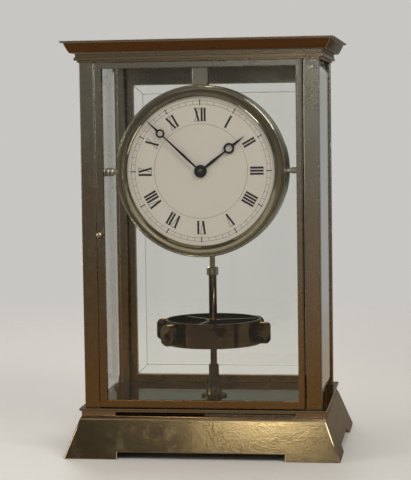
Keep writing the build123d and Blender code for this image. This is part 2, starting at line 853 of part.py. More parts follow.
# Hands
def hand(angle, back_y, length, ring_place, ring_radius, eye_radius, stem_half_width, hub, bore):
    y1 = back_y
    y0 = back_y - hand_thickness
    root = stem_half_width * stem_root_share
    slim = stem_half_width * stem_taper_share
    belly = ring_place * stem_belly_share
    eye_end = ring_place + ring_radius - (ring_radius - eye_radius) / 2
    stem = drawn_face([(-root, 0), (root, 0), (stem_half_width, belly), (slim, ring_place - eye_radius),
                       (-slim, ring_place - eye_radius), (-stem_half_width, belly)],
                      lambda u, v: (u, y0, v))
    blade = drawn_face([(-stem_half_width, eye_end), (stem_half_width, eye_end),
                        (hand_tip_half_width, length), (-hand_tip_half_width, length)],
                       lambda u, v: (u, y0, v))
    shape = extrude(stem, hand_thickness, dir=(0, 1, 0)) + extrude(blade, hand_thickness, dir=(0, 1, 0))
    shape += rod_y(0, ring_place, ring_radius, y0, y1)
    shape -= rod_y(0, ring_place, eye_radius, y0, y1)
    shape += rod_y(0, 0, hub, y0, y1)
    shape -= rod_y(0, 0, bore, y0, y1)
    return Pos(0, 0, dial_z) * Rot(0, angle, 0) * shape


def hour_pipe_radius():
    return cannon_pipe_radius + running_clearance + hour_pipe_wall


def hour_hand():
    bore = cannon_pipe_radius + running_clearance
    return hand(hour_angle, dial_y - hour_hand_lift, hour_length, hour_ring_place, hour_ring_radius,
                hour_eye_radius, hour_stem_half_width, hour_hub_radius, bore)


def minute_hand():
    return hand(minute_angle, dial_y - minute_hand_lift, minute_length, minute_ring_place, minute_ring_radius,
                minute_eye_radius, minute_stem_half_width, minute_hub_radius, centre_arbor_radius)


def hand_nut():
    back = dial_y - minute_hand_lift - hand_thickness
    shoulder = back - hand_nut_height / 2
    front = back - hand_nut_height
    sag = cap_sag(shoulder - front, hand_nut_radius)
    return turned_y(0, dial_z, [
        (front, 0), (shoulder, 0), (shoulder, centre_arbor_radius), (back, centre_arbor_radius),
        (back, hand_nut_radius), (shoulder, hand_nut_radius, -sag)])


# Motion work, between the dial and the front plate
def motion_planes():
    cannon_back = front_plate_y - motion_gap
    wheel_back = cannon_back - motion_wheel_thickness / 2
    wheel_front = wheel_back - motion_wheel_thickness
    pinion_front = wheel_front - minute_pinion_length
    return cannon_back, wheel_back, wheel_front, pinion_front


def minute_wheel_place():
    return polar(0, dial_z, motion_distance, radians(minute_wheel_angle))


def minute_wheel():
    wheel_back, wheel_front, pinion_front = motion_planes()[1:]
    x, z = minute_wheel_place()
    towards = radians(minute_wheel_angle) + pi
    wheel = gear(x, z, wheel_front, wheel_back, minute_wheel_teeth, motion_module,
                 gap_facing(towards, minute_wheel_teeth))
    wheel += gear(x, z, pinion_front, wheel_front, hour_pinion_teeth, hour_module, towards)
    return wheel - rod_y(x, z, minute_stud_radius + running_clearance, pinion_front, wheel_back)


def hour_wheel():
    pinion_front = motion_planes()[-1]
    back = pinion_front + motion_wheel_thickness
    wheel = gear(0, dial_z, pinion_front, back, hour_wheel_teeth, hour_module,
                 gap_facing(radians(minute_wheel_angle), hour_wheel_teeth))
    wheel += rod_y(0, dial_z, hour_pipe_radius(), dial_y - hour_hand_lift, back)
    return wheel - rod_y(0, dial_z, cannon_pipe_radius + running_clearance, dial_y - hour_hand_lift, back)


# Movement
def arbor_places():
    # x, z and radius of each arbor that both plates carry
    return [(0, dial_z, centre_arbor_radius), (third_x, third_z, train_arbor_radius),
            (0, escape_z, train_arbor_radius), (barrel_x, dial_z, barrel_arbor_radius)]


def pillar_places():
    return [polar(0, dial_z, pillar_circle_radius, radians(angle)) for angle in pillar_angles]


def rear_leg_places():
    upper = dial_z + rear_leg_rise
    lower = dial_z - rear_leg_fall
    return [(-rear_leg_half_spread, upper), (rear_leg_half_spread, upper),
            (-rear_leg_half_spread, lower), (rear_leg_half_spread, lower)]


def front_plate():
    plate = rod_y(0, dial_z, drum_bore, front_plate_y, train_y)
    for x, z, radius in arbor_places() + [(0, pallet_z, train_arbor_radius)]:
        plate -= rod_y(x, z, radius + running_clearance, front_plate_y, train_y)
    x, z = minute_wheel_place()
    return plate + rod_y(x, z, minute_stud_radius, motion_planes()[-1], front_plate_y)


def back_plate():
    plate = rod_y(0, dial_z, back_plate_radius, back_plate_y, movement_back_y)
    for x, z, radius in arbor_places():
        plate -= rod_y(x, z, radius + running_clearance, back_plate_y, movement_back_y)
    plate -= rod_y(0, pallet_z, pallet_boss_radius, back_plate_y, movement_back_y)
    for x, z in pillar_places() + rear_leg_places():
        plate -= rod_y(x, z, small_screw_radius, back_plate_y, movement_back_y)
    x, z = click_place()
    return plate + rod_y(x, z, click_screw_radius, movement_back_y,
                         movement_back_y + 2 * ratchet_gap + ratchet_thickness)


def plate_pillars():
    solids = []
    for x, z in pillar_places():
        pillar = rod_y(x, z, pillar_radius, train_y, back_plate_y)
        hole = rod_y(x, z, small_screw_radius, back_plate_y - small_screw_length, back_plate_y)
        solids.append(pillar - hole)
    return solids


def plate_screws():
    screw = pan_screw(small_screw_head_radius, small_screw_head_height, small_screw_radius,
                      plate_thickness + small_screw_length)
    solids = []
    for i, (x, z) in enumerate(pillar_places()):
        solids.append(Pos(x, movement_back_y, z) * Rot(-90, 0, 0) * Rot(0, 0, screw_turn * i) * screw)
    return solids


def centre_wheel():
    cannon_back, _, cannon_front, _ = motion_planes()
    hand_back = dial_y - minute_hand_lift
    arbor_front = hand_back - hand_thickness - hand_nut_height / 2
    arbor = rod_y(0, dial_z, centre_arbor_radius, arbor_front, movement_back_y)
    arbor += rod_y(0, dial_z, cannon_pipe_radius, hand_back, cannon_back)
    arbor += gear(0, dial_z, cannon_front - running_clearance, cannon_back, cannon_teeth, motion_module,
                  radians(minute_wheel_angle))
    arbor += gear(0, dial_z, barrel_back_y - train_pinion_extra, great_wheel_y + train_pinion_extra,
                  centre_pinion_teeth, great_module, pi)
    arbor += rod_y(0, dial_z, hub_radius, great_wheel_y, centre_wheel_y)
    return arbor + train_wheel(0, dial_z, centre_wheel_y, -pi / 2 + third_turn)


def train_wheel(x, z, back_y, towards):
    return gear(x, z, back_y - train_wheel_thickness, back_y, train_wheel_teeth, train_module, towards)


def train_pinion(x, z, wheel_back_y, towards):
    # A little longer than the wheel that drives it, with a gap between two teeth towards that wheel
    return gear(x, z, wheel_back_y - train_wheel_thickness - train_pinion_extra,
                wheel_back_y + train_pinion_extra, train_pinion_teeth, train_module,
                gap_facing(towards, train_pinion_teeth))


def third_wheel():
    arbor = rod_y(third_x, third_z, train_arbor_radius, front_plate_y, movement_back_y)
    arbor += rod_y(third_x, third_z, hub_radius, third_wheel_y - train_wheel_thickness, centre_wheel_y)
    arbor += train_pinion(third_x, third_z, centre_wheel_y, pi / 2 + third_turn)
    return arbor + train_wheel(third_x, third_z, third_wheel_y, -pi / 2 - third_turn)


def escape_wheel():
    arbor = rod_y(0, escape_z, train_arbor_radius, front_plate_y, movement_back_y)
    arbor += rod_y(0, escape_z, hub_radius, third_wheel_y, escape_wheel_y)
    arbor += train_pinion(0, escape_z, third_wheel_y, pi / 2 - third_turn)
    return arbor + saw_wheel(0, escape_z, escape_wheel_y - train_wheel_thickness, escape_wheel_y,
                             escape_teeth, escape_radius, escape_tooth_depth, 1)


def barrel():
    wheel = gear(barrel_x, dial_z, barrel_back_y, great_wheel_y, great_wheel_teeth, great_module,
                 gap_facing(0, great_wheel_teeth))
    wheel += rod_y(barrel_x, dial_z, barrel_cup_radius, barrel_front_y, barrel_back_y)
    wheel -= rod_y(barrel_x, dial_z, barrel_cup_radius - barrel_wall, barrel_front_y, barrel_back_y)
    bore = barrel_arbor_radius + running_clearance
    return wheel - rod_y(barrel_x, dial_z, bore, barrel_back_y, great_wheel_y)


def mainspring():
    outer = barrel_cup_radius - barrel_wall
    front = barrel_front_y + mainspring_gap
    return turned_y(barrel_x, dial_z, [
        (front, mainspring_inner_radius), (barrel_back_y, mainspring_inner_radius),
        (barrel_back_y, outer), (front, outer)])


def barrel_arbor():
    ratchet_y = movement_back_y + ratchet_gap
    arbor = rod_y(barrel_x, dial_z, barrel_arbor_radius, front_plate_y, motor_gear_y + motor_gear_thickness)
    arbor += rod_y(barrel_x, dial_z, 2 * barrel_arbor_radius, barrel_front_y, barrel_back_y - mainspring_gap)
    return arbor + saw_wheel(barrel_x, dial_z, ratchet_y, ratchet_y + ratchet_thickness, ratchet_teeth,
                             ratchet_radius, ratchet_tooth_depth, -1)


def click_place():
    return polar(barrel_x, dial_z, click_reach, radians(click_angle))


def click():
    y0 = movement_back_y + ratchet_gap
    y1 = y0 + ratchet_thickness
    x, z = click_place()
    lever = rod_y(x, z, click_boss_radius, y0, y1)
    reach = ratchet_radius + click_clearance + click_width / 2
    tip_x, tip_z = polar(barrel_x, dial_z, reach, radians(click_angle + click_span))
    lever += bar_between(x, z, tip_x, tip_z, click_width, y0, y1)
    lever -= rod_y(barrel_x, dial_z, ratchet_radius + click_clearance, y0, y1)
    return lever - rod_y(x, z, click_screw_radius + running_clearance, y0, y1)


def bar_between(x0, z0, x1, z1, width, y0, y1):
    # A flat bar with square ends from one point of the XZ plane to another
    run = hypot(x1 - x0, z1 - z0)
    across_x = (z1 - z0) / run * width / 2
    across_z = -(x1 - x0) / run * width / 2
    face = drawn_face([(x0 - across_x, z0 - across_z), (x1 - across_x, z1 - across_z),
                       (x1 + across_x, z1 + across_z), (x0 + across_x, z0 + across_z)],
                      lambda u, v: (u, y0, v))
    return extrude(face, y1 - y0, dir=(0, 1, 0))


def fork_y():
    return movement_back_y + pallet_cock_gap + pallet_cock_thickness + fork_gap


def pallet_lever():
    anchor_y = escape_wheel_y - train_wheel_thickness
    fork_end_y = fork_y() + fork_thickness
    lever = rod_y(0, pallet_z, train_arbor_radius, front_plate_y, fork_end_y)
    lever += rod_y(0, pallet_z, pallet_boss_radius - 2 * running_clearance, anchor_y, escape_wheel_y)
    for side in (-1, 1):
        x = side * pallet_reach * sin(radians(pallet_angle))
        z = escape_z - pallet_reach * cos(radians(pallet_angle))
        lever += bar_between(0, pallet_z, x, z, pallet_arm_width, anchor_y, escape_wheel_y)
    fork_top = pallet_z - fork_drop
    half = fork_half_opening + fork_tine
    lever += block(-half / 2, half / 2, fork_y(), fork_end_y, fork_top, pallet_z)
    lever += rod_y(0, pallet_z, pallet_boss_radius, fork_y(), fork_end_y)
    lever += block(-half, half, fork_y(), fork_end_y, fork_top - fork_height, fork_top + fork_height / 2)
    for side in (-1, 1):
        tine = sorted((side * fork_half_opening, side * half))
        lever += block(*tine, fork_end_y, -fork_end_gap, fork_top - fork_height, fork_top)
    return lever


def pallet_cock():
    y0 = movement_back_y + pallet_cock_gap
    y1 = y0 + pallet_cock_thickness
    half = pallet_cock_width / 2
    top = pallet_z + pallet_cock_height
    leg = pallet_boss_radius + fork_gap
    cock = block(-half, half, y0, y1, pallet_z - half, top)
    cock += block(-half, half, movement_back_y, y0, pallet_z + leg, top)
    return cock - rod_y(0, pallet_z, train_arbor_radius + running_clearance, y0, y1)


# Suspension and pendulum
def suspension_cock():
    top = dial_z + cock_top_place
    foot = block(-cock_foot_half_width, cock_foot_half_width,
                 movement_back_y, movement_back_y + cock_foot_thickness, top - cock_foot_height, top)
    foot = fillet(foot.edges().filter_by(Axis.Y), cock_foot_thickness / 2)
    arm = block(-cock_half_width, cock_half_width, movement_back_y, cock_overhang, top - cock_height, top)
    return foot + arm - rod_z(0, 0, wire_block_radius, top - cock_height, top)


def tube_top():
    return dial_z - tube_top_drop


def suspension_wire():
    top = dial_z + cock_top_place
    wire = rod_z(0, 0, wire_radius, tube_top(), top)
    wire += rod_z(0, 0, wire_block_radius, top - cock_height, top)
    return wire + rod_z(0, 0, wire_block_head_radius, top, top + wire_block_head_height)


def roller_z():
    return pallet_z - fork_drop - fork_height - impulse_pin_gap - impulse_pin_length - roller_thickness


def pendulum_tube():
    step = dial_z - tube_step_drop
    collar_top = step + collar_height
    cap = tube_top()
    chamfer_step = collar_radius - tube_radius
    roller = roller_z()
    tube = turned_z(0, 0, [
        (0, ring_z), (tube_radius, ring_z), (tube_radius, step), (collar_radius, step + chamfer_step / 2),
        (collar_radius, collar_top - chamfer_step / 2), (tube_radius, collar_top),
        (tube_neck_radius, collar_top),
        (tube_neck_radius, roller), (roller_radius, roller), (roller_radius, roller + roller_thickness),
        (tube_neck_radius, roller + roller_thickness), (tube_neck_radius, cap), (tube_cap_radius, cap),
        (tube_cap_radius, cap + tube_cap_height), (0, cap + tube_cap_height)])
    tube += rod_z(0, -impulse_pin_place, impulse_pin_radius, roller,
                  roller + roller_thickness + impulse_pin_length)
    return tube - rod_z(0, 0, wire_radius + running_clearance, tube_top(), cap + tube_cap_height)


def balance_ring():
    inner = ring_radius - ring_wall
    return turned_z(0, 0, [(inner, ring_z), (ring_radius, ring_z),
                           (ring_radius, ring_top_z), (inner, ring_top_z)])


def balance_spider():
    top = ring_top_z - spoke_inset
    half = spoke_width / 2
    inner = ring_radius - ring_wall
    hub = rod_z(0, 0, spider_hub_radius, top - spider_hub_height, top)
    for i in range(spoke_count):
        spoke = block(-half, half, -ring_radius, 0, top - spoke_thickness, top)
        hub += Rot(0, 0, spoke_angle + i * 360 / spoke_count) * spoke
    hub = hub & rod_z(0, 0, inner, ring_z, ring_top_z)
    return hub - rod_z(0, 0, tube_radius, ring_z, ring_top_z)


def balance_weights():
    middle_z = (ring_z + ring_top_z) / 2
    neck_y = -ring_radius - weight_neck_length
    head_y = neck_y - weight_head_length
    point_y = head_y - weight_point_length
    weight = rod_y(0, middle_z, weight_neck_radius, neck_y, -ring_radius + ring_wall)
    head = rod_y(0, middle_z, weight_head_radius, head_y, neck_y)
    head = fillet(head.edges().filter_by(GeomType.CIRCLE).group_by(Axis.Y)[-1], weight_edge_radius)
    base = Plane((0, head_y, middle_z), x_dir=(1, 0, 0), z_dir=(0, -1, 0))
    tip_side = 2 * weight_edge_radius
    pyramid = loft([base * Rectangle(2 * weight_head_radius, 2 * weight_head_radius),
                    base.offset(weight_point_length) * Rectangle(tip_side, tip_side)])
    pyramid = pyramid & rod_y(0, middle_z, weight_head_radius, point_y, head_y)
    weight = weight + head + pyramid - rod_z(0, 0, ring_radius, ring_z, ring_top_z)
    return [Rot(0, 0, weight_angle + i * 360 / weight_count) * weight for i in range(weight_count)]


def pendulum_foot():
    ball_z = foot_z + pendulum_foot_radius
    neck = rod_z(0, 0, pendulum_foot_neck_radius, ball_z, ring_z)
    return Pos(0, 0, ball_z) * Sphere(pendulum_foot_radius) + neck


# Pendulum lock
def lock_post():
    bead, neck, top = (floor_z + share * post_reach for share in post_section_shares)
    post = turned_z(0, 0, [
        (0, floor_z), (post_flange_radius, floor_z), (post_flange_radius, floor_z + post_flange_height),
        (post_foot_radius, floor_z + post_flange_height), (post_radius, bead), (post_radius, neck),
        (post_neck_radius, neck), (post_neck_radius, top), (0, top)])
    return post - rod_z(0, 0, plunger_radius + running_clearance, floor_z, top)


def lock_plunger():
    plunger = rod_z(0, 0, plunger_radius, plunger_z, plunger_top_z)
    foot = turned_z(0, 0, [(0, plunger_z), (plunger_foot_radius, plunger_z + plunger_foot_height / 2),
                           (plunger_foot_radius, plunger_z + plunger_foot_height),
                           (0, plunger_z + plunger_foot_height)])
    return plunger + foot


def slide_bar_front():
    return -(half_depth + step_top_overhang - step_wall) + slide_gap


def slide_bar_back():
    return slide_bar_front() + slide_depth


def lock_slide():
    right = slide_tip_place + slide_behind
    left = slide_tip_place - lock_travel
    bar_front = slide_bar_front()
    bar = block(left, right, bar_front, slide_bar_back(), slide_z, slide_z + slide_height)
    bar += block(right - arm_width, right, bar_front, ramp_half_width, arm_z, arm_z + arm_thickness)
    slope = lock_lift / lock_travel
    low_x = -ramp_margin
    high_x = right
    top = arm_z + arm_thickness
    ramp = drawn_face([(low_x, arm_z), (high_x, arm_z), (high_x, top + slope * high_x),
                       (low_x, top + slope * low_x)], lambda u, v: (u, -ramp_half_width, v))
    bar += extrude(ramp, 2 * ramp_half_width, dir=(0, 1, 0))
    tip_z = base_plate_z - slot_drop - slot_height / 2
    step_y = -half_depth - step_top_overhang
    ball_y = step_y - tip_reach
    tip_left = slide_tip_place - tip_radius
    tip_right = slide_tip_place + tip_radius
    tip_back = bar_front + 2 * tip_radius
    post = block(tip_left, tip_right, bar_front, tip_back, slide_z, tip_z + tip_radius)
    stem = block(tip_left, tip_right, ball_y, tip_back, tip_z - tip_radius, tip_z + tip_radius)
    ball = Pos(slide_tip_place, ball_y, tip_z - tip_drop) * Sphere(tip_ball_radius)
    return bar + post + stem + ball


# Motor
def rear_plate():
    y0 = rear_plate_place
    y1 = y0 + rear_plate_thickness
    plate = block(-rear_plate_half_width, rear_plate_half_width, y0, y1, dial_z - rear_plate_fall,
                  dial_z + rear_plate_rise)
    plate = fillet(plate.edges().filter_by(Axis.Y), rear_plate_corner_radius)
    plate -= rod_y(barrel_x, dial_z, barrel_arbor_radius + running_clearance, y0, y1)
    for x, z in rear_leg_places():
        plate += rod_y(x, z, rear_leg_radius, movement_back_y, y0)
        plate += rod_y(x, z, small_screw_radius, back_plate_y, movement_back_y)
    plate += rod_y(0, dial_z, motor_stud_radius, y1, motor_stud_y)
    stud_end = motor_stud_y + motor_stud_head_height
    return plate + rod_y(0, dial_z, motor_stud_head_radius, motor_stud_y, stud_end)


def motor_drum():
    y1 = motor_y + motor_length
    bore = motor_stud_radius + running_clearance
    hub = bore + motor_wall
    inner = motor_radius - motor_wall
    gear_back = motor_gear_y + motor_gear_thickness
    cup = turned_y(0, dial_z, [
        (gear_back, bore), (gear_back, hub + motor_wall), (motor_y, hub + motor_wall),
        (motor_y, motor_radius), (y1, motor_radius), (y1, inner), (motor_y + motor_wall, inner),
        (motor_y + motor_wall, hub), (y1, hub), (y1, bore)])
    wheel = gear(0, dial_z, motor_gear_y, gear_back, motor_gear_teeth, motor_gear_module, pi)
    return cup + wheel - rod_y(0, dial_z, bore, motor_gear_y, gear_back)


def motor_cover():
    y0 = motor_y + motor_length - motor_wall
    y1 = motor_y + motor_length
    bore = motor_stud_radius + running_clearance
    hub = bore + motor_wall
    inner = motor_radius - motor_wall
    groove = motor_edge_radius
    return turned_y(0, dial_z, [
        (y0, hub), (y1, hub), (y1 + motor_boss_height, hub + groove),
        (y1 + motor_boss_height, motor_boss_radius), (y1, motor_boss_radius + groove),
        (y1, inner - 2 * groove), (y1 + motor_boss_height / 2, inner - groove), (y1, inner), (y0, inner)])


def motor_vessel():
    # It rests on the floor of the drum
    middle = motor_y + motor_wall + vessel_tube_radius
    return Pos(0, middle, dial_z) * Rot(90, 0, 0) * Torus(vessel_radius, vessel_tube_radius)


def winding_wheel():
    y0 = motor_gear_y
    y1 = y0 + motor_gear_thickness
    wheel = gear(barrel_x, dial_z, y0, y1, motor_gear_teeth, motor_gear_module,
                 gap_facing(0, motor_gear_teeth))
    return wheel - rod_y(barrel_x, dial_z, barrel_arbor_radius + running_clearance, y0, y1)


def all_nodes():
    front_left, front_right, back_left, back_right = column_centres()
    return {
        "plinth": plinth(),
        "plinth_closing_plate": plinth_hollow(foot_height, foot_height + closing_plate_thickness),
        "base_step": base_step(),
        "base_plate": base_plate(),
        "column_front_left": column(*front_left, keeper=True),
        "column_front_right": column(*front_right),
        "column_back_left": column(*back_left),
        "column_back_right": column(*back_right),
        "column_screws": column_screws(),
        "head_plate": head_plate(),
        "cornice": cornice(),
        "back_frame": back_frame(),
        "back_glass": back_glass(),
        "side_glass_left": side_glass(-1),
        "side_glass_right": side_glass(1),
        "door_frame": door_frame(),
        "door_glass": door_glass(),
        "door_pivot_pins": door_pivot_pins(),
        "door_knob": door_knob(),
        "door_latch": door_latch(),
        "drum_shell": drum_shell(),
        "bezel": bezel(),
        "dial": dial(),
        "hanging_strap": hanging_strap(),
        "strap_screws": strap_screws(),
        "side_studs": side_studs(),
        "stud_nut_left": stud_nut_left(),
        "hour_hand": hour_hand(),
        "minute_hand": minute_hand(),
        "hand_nut": hand_nut(),
        "minute_wheel": minute_wheel(),
        "hour_wheel": hour_wheel(),
        "front_plate": front_plate(),
        "back_plate": back_plate(),
        "plate_pillars": plate_pillars(),
        "plate_screws": plate_screws(),
        "centre_wheel": centre_wheel(),
        "third_wheel": third_wheel(),
        "escape_wheel": escape_wheel(),
        "barrel": barrel(),
        "mainspring": mainspring(),
        "barrel_arbor": barrel_arbor(),
        "click": click(),
        "pallet_lever": pallet_lever(),
        "pallet_cock": pallet_cock(),
        "suspension_cock": suspension_cock(),
        "suspension_wire": suspension_wire(),
        "pendulum_tube": pendulum_tube(),
        "balance_ring": balance_ring(),
        "balance_spider": balance_spider(),
        "balance_weights": balance_weights(),
        "pendulum_foot": pendulum_foot(),
        "lock_post": lock_post(),
        "lock_plunger": lock_plunger(),
        "lock_slide": lock_slide(),
        "rear_plate": rear_plate(),
        "motor_drum": motor_drum(),
        "motor_cover": motor_cover(),
        "motor_vessel": motor_vessel(),
        "winding_wheel": winding_wheel(),
    }


os.makedirs("parts", exist_ok=True)
for name, shape in all_nodes().items():
    solids = shape if isinstance(shape, list) else [shape]
    solids = [solid for piece in solids for solid in piece.solids()]
    export_step(solids[0] if len(solids) == 1 else Compound(children=solids), f"parts/{name}.step")
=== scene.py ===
import json
from math import cos, pi, radians, sin

import bmesh
import bpy
from mathutils import Matrix, Vector

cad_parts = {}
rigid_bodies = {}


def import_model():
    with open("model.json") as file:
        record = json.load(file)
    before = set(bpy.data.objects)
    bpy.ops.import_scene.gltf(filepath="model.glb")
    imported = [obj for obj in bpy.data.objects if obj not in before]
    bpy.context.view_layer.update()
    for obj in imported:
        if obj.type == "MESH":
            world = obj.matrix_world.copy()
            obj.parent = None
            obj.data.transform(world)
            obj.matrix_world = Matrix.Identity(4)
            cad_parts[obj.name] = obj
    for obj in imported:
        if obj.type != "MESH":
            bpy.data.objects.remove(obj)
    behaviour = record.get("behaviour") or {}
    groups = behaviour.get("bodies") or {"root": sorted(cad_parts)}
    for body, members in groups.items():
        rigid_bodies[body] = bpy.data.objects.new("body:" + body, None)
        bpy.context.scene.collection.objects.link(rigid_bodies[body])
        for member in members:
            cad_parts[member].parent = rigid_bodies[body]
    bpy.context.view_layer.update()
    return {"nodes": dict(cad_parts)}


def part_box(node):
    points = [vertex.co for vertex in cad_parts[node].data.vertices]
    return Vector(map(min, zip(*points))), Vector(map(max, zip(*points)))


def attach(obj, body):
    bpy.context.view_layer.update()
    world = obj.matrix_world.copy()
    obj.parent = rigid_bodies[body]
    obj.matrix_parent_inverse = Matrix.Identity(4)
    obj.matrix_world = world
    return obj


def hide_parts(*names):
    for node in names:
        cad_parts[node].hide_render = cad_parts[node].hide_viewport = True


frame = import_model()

nodes = frame["nodes"]
mm = 0.001


# Camera, studio and lamps

camera = {
    "place": (0.15874, -1.10699, 0.22121),
    "yaw": 8.39,  # degrees, as the next two
    "pitch": -4.3,
    "roll": -0.83,
    "lens": 124.28,
    "sensor": 36.0,
    "nearest": 0.01,
}


def placeCamera():
    yaw, pitch, roll = (radians(camera[key]) for key in ("yaw", "pitch", "roll"))
    ahead = Vector((-sin(yaw) * cos(pitch), cos(yaw) * cos(pitch), sin(pitch)))
    side = Vector((cos(yaw), sin(yaw), 0))
    over = side.cross(ahead)
    right = side * cos(roll) + over * sin(roll)
    up = over * cos(roll) - side * sin(roll)
    data = bpy.data.cameras.new("camera")
    data.lens = camera["lens"]
    data.sensor_width = camera["sensor"]
    data.clip_start = camera["nearest"]
    holder = bpy.data.objects.new("camera", data)
    bpy.context.scene.collection.objects.link(holder)
    turn = Matrix((right, up, -ahead)).transposed().to_4x4()
    holder.matrix_world = Matrix.Translation(camera["place"]) @ turn
    bpy.context.scene.camera = holder


placeCamera()
bpy.context.scene.view_settings.view_transform = "Standard"
print("camera placed")


class Link:
    # an output of a node that is added, taken away, multiplied and divided like a number
    def __init__(self, finish, socket):
        self.finish = finish
        self.socket = socket

    def maths(self, operation, first, second):
        return self.finish.node("ShaderNodeMath", {"operation": operation}, {0: first, 1: second})

    def __add__(self, other):
        return self.maths("ADD", self, other)

    def __radd__(self, other):
        return self.maths("ADD", other, self)

    def __sub__(self, other):
        return self.maths("SUBTRACT", self, other)

    def __rsub__(self, other):
        return self.maths("SUBTRACT", other, self)

    def __mul__(self, other):
        return self.maths("MULTIPLY", self, other)

    def __rmul__(self, other):
        return self.maths("MULTIPLY", other, self)

    def __truediv__(self, other):
        return self.maths("DIVIDE", self, other)

    def __rtruediv__(self, other):
        return self.maths("DIVIDE", other, self)

    def least(self, other):
        return self.maths("MINIMUM", self, other)

    def most(self, other):
        return self.maths("MAXIMUM", self, other)


class Finish:
    # a node tree and the few ways in which this scene fills it
    def __init__(self, owner):
        owner.use_nodes = True
        self.owner = owner
        self.tree = owner.node_tree
        self.tree.nodes.clear()

    def node(self, kind, settings=None, values=None, output=0):
        made = self.tree.nodes.new(kind)
        for key, value in (settings or {}).items():
            if key == "stops":
                self.setStops(made.color_ramp.elements, value)
            else:
                setattr(made, key, value)
        for key, value in (values or {}).items():
            if isinstance(value, Link):
                self.tree.links.new(value.socket, made.inputs[key])
            elif isinstance(value, tuple) and len(value) == 3 and made.inputs[key].type == "RGBA":
                made.inputs[key].default_value = (*value, 1)
            else:
                made.inputs[key].default_value = value
        return Link(self, made.outputs[output]) if made.outputs else made

    def setStops(self, elements, stops):
        while len(elements) < len(stops):
            elements.new(1)
        for element, (place, level) in zip(elements, stops):
            element.position = place
            element.color = (level, level, level, 1)

    def place(self):
        return self.node("ShaderNodeTexCoord", output="Object")

    def along(self, vector, axis):
        return self.node("ShaderNodeSeparateXYZ", {}, {0: vector}, output=axis)

    def scaled(self, vector, scale):
        return self.node("ShaderNodeMapping", {}, {"Vector": vector, "Scale": scale})

    def noise(self, vector, scale, detail=3.0, rough=0.5):
        values = {"Vector": vector, "Scale": scale, "Detail": detail, "Roughness": rough}
        return self.node("ShaderNodeTexNoise", {}, values)

    def ramp(self, value, *stops):
        return self.node("ShaderNodeValToRGB", {"stops": stops}, {"Fac": value})

    def blend(self, share, first, second):
        return self.node("ShaderNodeMix", {"data_type": "RGBA"}, {0: share, 6: first, 7: second}, output=2)

    def bump(self, height, strength, depth):
        values = {"Height": height, "Strength": strength, "Distance": depth}
        return self.node("ShaderNodeBump", {}, values)

    def surface(self, values):
        return self.node("ShaderNodeBsdfPrincipled", {}, values)

    def close(self, shader, kind="ShaderNodeOutputMaterial"):
        self.node(kind, {}, {"Surface": shader})
        return self.owner


def shaded(tone, share):
    return tuple(share * value for value in tone)


def standing(name, form, *looks):
    # the finished mesh as an object of the scene
    mesh = bpy.data.meshes.new(name)
    form.to_mesh(mesh)
    form.free()
    for look in looks:
        mesh.materials.append(look)
    piece = bpy.data.objects.new(name, mesh)
    bpy.context.scene.collection.objects.link(piece)
    return piece


studio = {
    "seen": (0.58, 0.565, 0.54),  # by the camera, also through the panes
    "diffuse": (0.44, 0.43, 0.41),  # on matt faces
    # the tones that only the metal and the panes mirror
    "front": (0.30, 0.27, 0.23),
    "shade": (0.035, 0.03, 0.024),  # upright streaks in front
    "low": (0.10, 0.088, 0.07),
    "glow": (0.50, 0.48, 0.42),
    "upper": (0.06, 0.05, 0.04),
    "behind": (0.34, 0.34, 0.325),
    "overhead": (0.50, 0.50, 0.47),
    "streakScale": (8.0, 8.0, 0.2),
    "streakSize": 2.4,
    "streaks": ((0.36, 0), (0.64, 1)),
    # where one tone passes into the next, from 0 straight down to 1 straight up
    "lowEnds": ((0.40, 0), (0.46, 1)),
    "glowStarts": ((0.52, 0), (0.55, 1)),
    "upperStarts": ((0.61, 0), (0.68, 1)),
    "overheadStarts": ((0.90, 0), (0.99, 1)),
    "behindStarts": ((0.42, 0), (0.62, 1)),  # from 0 in front to 1 behind
}


def makeStudio():
    world = bpy.data.worlds.new("studio")
    bpy.context.scene.world = world
    finish = Finish(world)
    towards = finish.node("ShaderNodeTexCoord", output="Generated")
    depth = finish.along(towards, 1) * 0.5 + 0.5
    height = finish.along(towards, 2) * 0.5 + 0.5
    streaks = finish.noise(finish.scaled(towards, studio["streakScale"]), studio["streakSize"], detail=2.0)
    around = finish.blend(finish.ramp(streaks, *studio["streaks"]), studio["shade"], studio["front"])
    around = finish.blend(finish.ramp(height, *studio["lowEnds"]), studio["low"], around)
    around = finish.blend(finish.ramp(height, *studio["glowStarts"]), around, studio["glow"])
    around = finish.blend(finish.ramp(height, *studio["upperStarts"]), around, studio["upper"])
    around = finish.blend(finish.ramp(depth, *studio["behindStarts"]), around, studio["behind"])
    around = finish.blend(finish.ramp(height, *studio["overheadStarts"]), around, studio["overhead"])
    direct, through, glossy, diffuse = (
        finish.node("ShaderNodeLightPath", output=name)
        for name in ("Is Camera Ray", "Is Transmission Ray", "Glossy Depth", "Diffuse Depth"))
    mirrored = glossy.least(1)
    scattered = diffuse.least(1)
    seen = direct.most(through * (1 - mirrored) * (1 - scattered))
    colour = finish.blend(seen, finish.blend(mirrored, studio["diffuse"], around), studio["seen"])
    finish.close(finish.node("ShaderNodeBackground", {}, {"Color": colour, "Strength": 1.0}),
                 "ShaderNodeOutputWorld")


makeStudio()


floor = {
    "radius": 1.0,
    "sides": 96,
    "fade": ((0.35, 0), (0.9, 1)),  # distances from the middle
    "tone": (0.60, 0.575, 0.54),
    "grainSize": 60.0,
    "grainShade": 0.97,
    "mirrored": (0.33, 0.275, 0.215),  # what the metal shows of it
    "roughness": 0.55,
    "gloss": 0.25,
}


